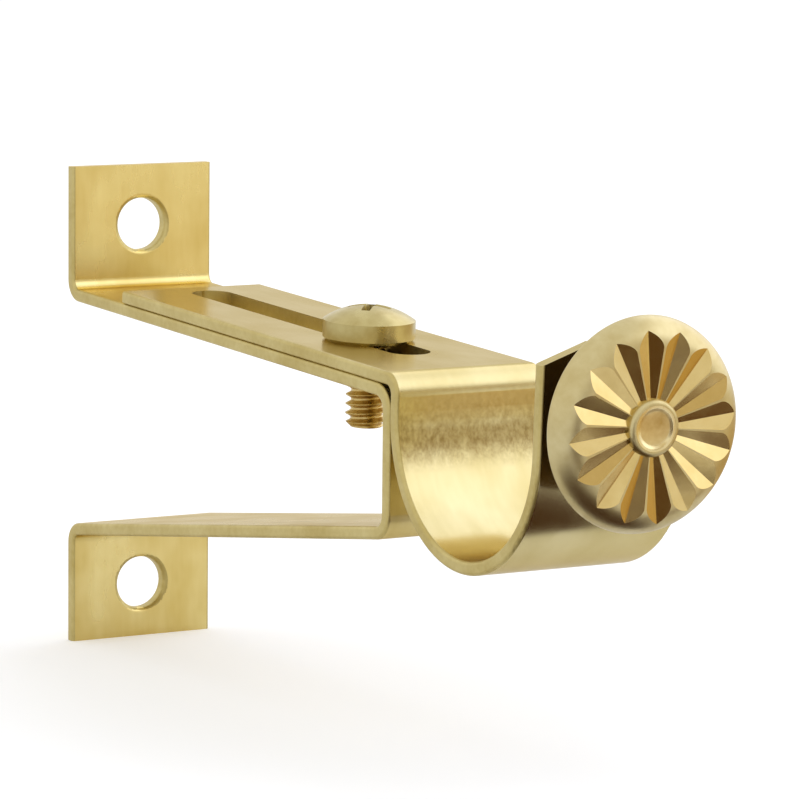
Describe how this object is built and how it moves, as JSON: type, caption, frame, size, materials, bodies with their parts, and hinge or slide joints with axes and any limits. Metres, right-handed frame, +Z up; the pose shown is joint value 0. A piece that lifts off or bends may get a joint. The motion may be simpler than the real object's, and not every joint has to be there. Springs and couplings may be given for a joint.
{
  "type": "curtain pole bracket",
  "caption": "Adjustable curtain pole bracket: a folded wall arm, a slotted cradle that slides on it and ends in an open round seat, and a fluted thumb screw that clamps the pole.",
  "frame": {"origin": "on the wall plane, midway between the two wall holes", "axes": "+Z up, -Y out from the wall into the room, X along the pole"},
  "size_m": [0.0228, 0.1143, 0.0583],
  "materials": {
    "strip_brass": "satin, lacquered",
    "rosette_brass": "polished",
    "screw_brass": "coppery, satin"
  },
  "bodies": {
    "wall_bracket": {"wall_bracket": "strip_brass"},
    "pole_cradle": {"pole_cradle": "strip_brass"},
    "adjusting_screw": {"adjusting_screw": "screw_brass"},
    "thumb_screw": {"thumb_rosette": "rosette_brass", "clamp_stud": "screw_brass"}
  },
  "joints": [
    {"name": "cradle_slide", "type": "slide", "parent": "wall_bracket", "child": "pole_cradle", "axis": [0, -0.9989, -0.0459], "range_m": [0, 0.0365]},
    {"name": "adjusting_screw_turn", "type": "hinge", "parent": "wall_bracket", "child": "adjusting_screw", "pos_m": [0, -0.05602, 0.01223], "axis": [0, -0.0459, 0.9989], "range_deg": [0, 720]},
    {"name": "thumb_screw_turn", "type": "hinge", "parent": "pole_cradle", "child": "thumb_screw", "pos_m": [0, -0.11045, 0.01074], "axis": [0, -0.9989, -0.0459], "range_deg": [-1156, 136]}
  ]
}
